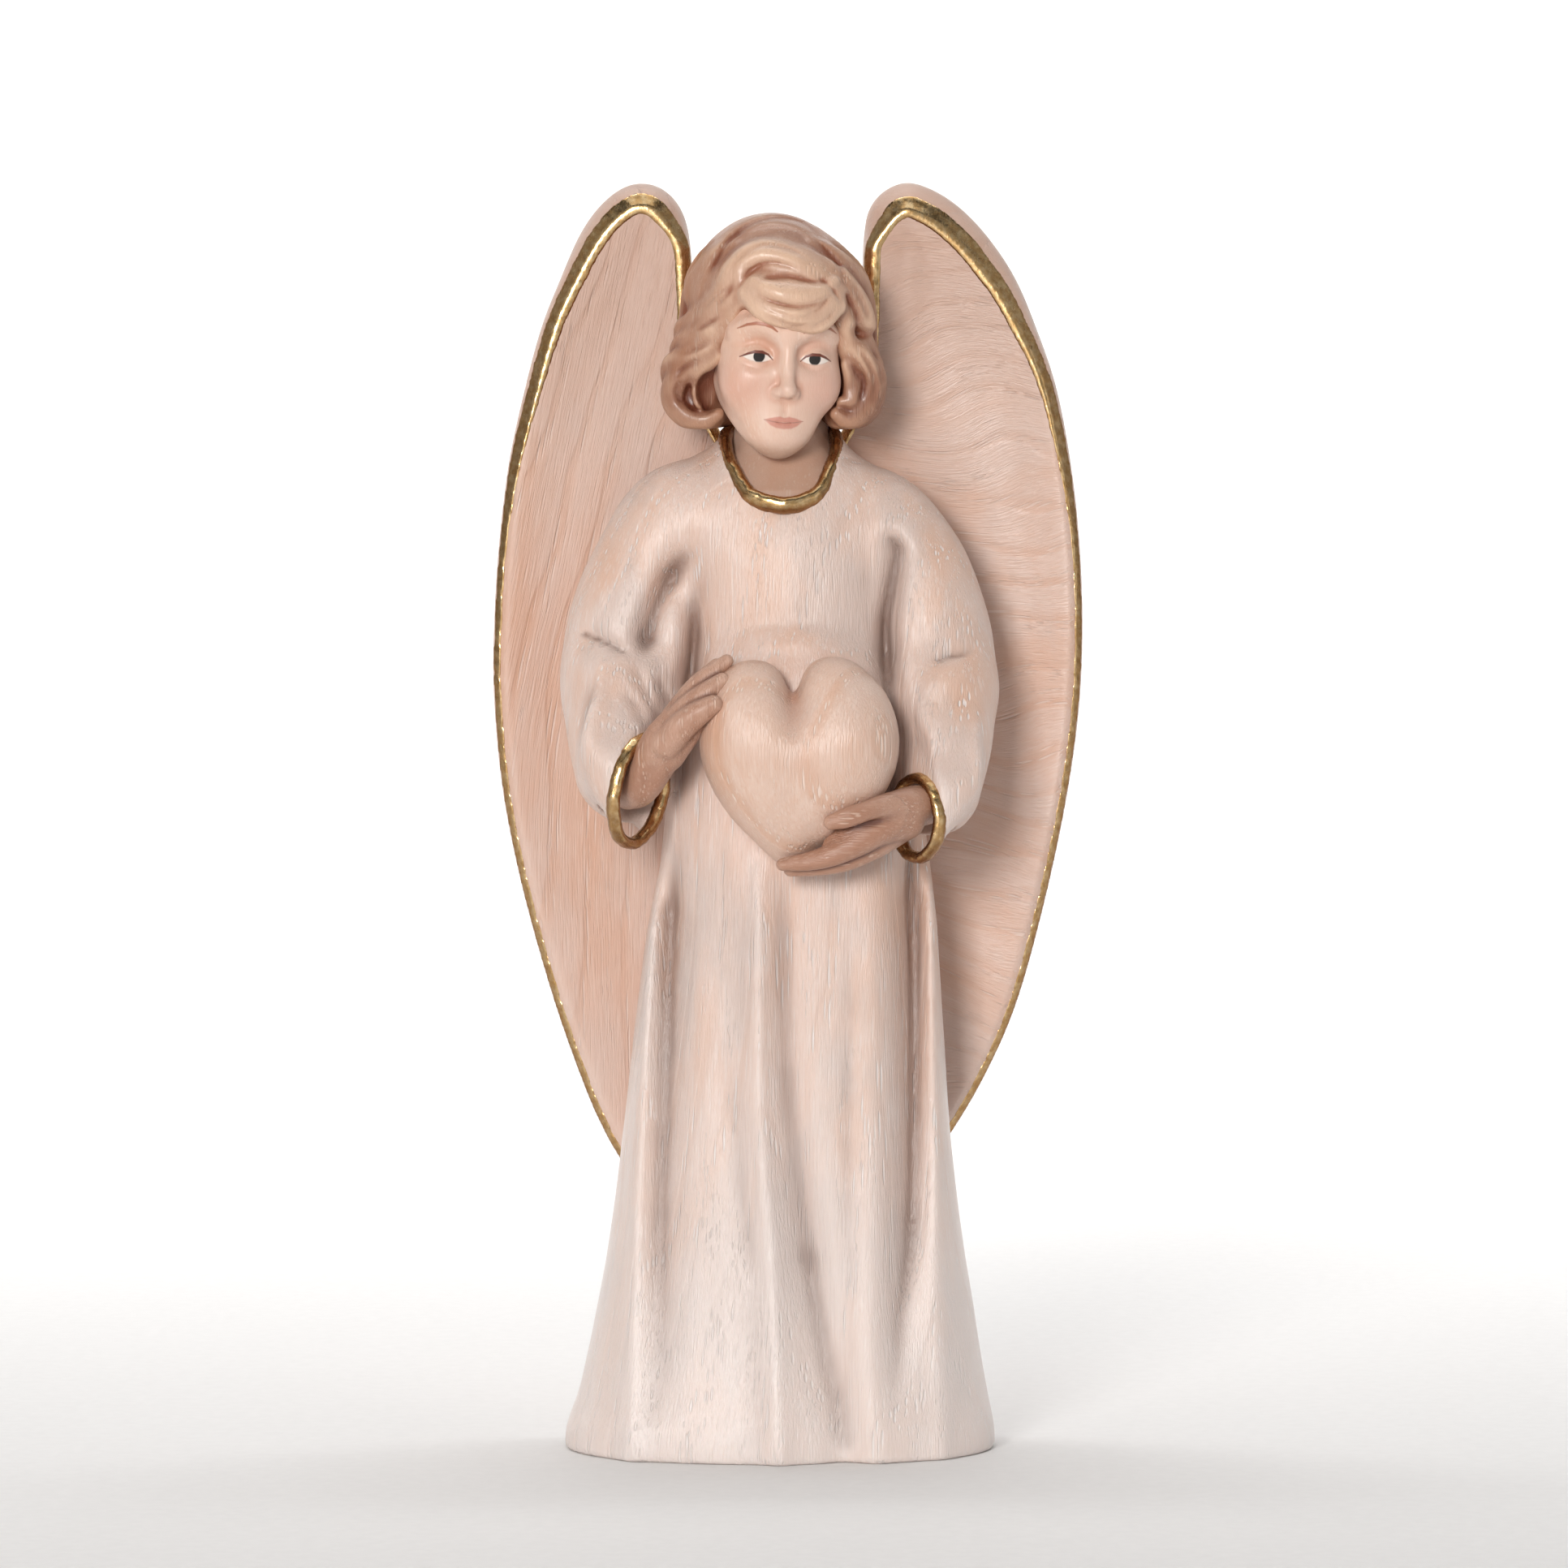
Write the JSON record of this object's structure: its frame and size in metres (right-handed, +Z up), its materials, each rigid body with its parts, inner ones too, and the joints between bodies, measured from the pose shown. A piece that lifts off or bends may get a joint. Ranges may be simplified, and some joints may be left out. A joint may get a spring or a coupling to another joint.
{
  "type": "angel figurine",
  "caption": "Free-standing carved wooden angel in a long robe, with tall gilt-edged wings, holding a heart in both hands.",
  "frame": {"origin": "centre of the hem's flat base", "axes": "+Z up from the base to the wing tips; the angel faces -Y, so its right hand is on the -X side"},
  "size_m": [0.0749, 0.0423, 0.1597],
  "materials": {
    "robe_wash": "satin white-washed open-grain ash",
    "skin_stain": "satin skin-toned stain, painted face",
    "hair_stain": "satin brown stain",
    "heart_wash": "satin washed wood",
    "wing_wash": "satin pink-washed open-grain ash",
    "gilding": "hand-laid gold leaf, worn",
    "bare_wood": "plain"
  },
  "bodies": {
    "root": {"robe": "robe_wash", "head": "skin_stain", "hair": "hair_stain", "heart": "heart_wash", "hand_right": "skin_stain", "hand_left": "skin_stain", "collar_bead": "gilding", "cuff_bead_right": "gilding", "cuff_bead_left": "gilding", "wing_right": "wing_wash", "wing_left": "wing_wash", "wing_rim_right": "gilding", "wing_rim_left": "gilding", "wing_dowels": "bare_wood", "neck_dowel": "bare_wood", "heart_dowel": "bare_wood"}
  },
  "joints": []
}
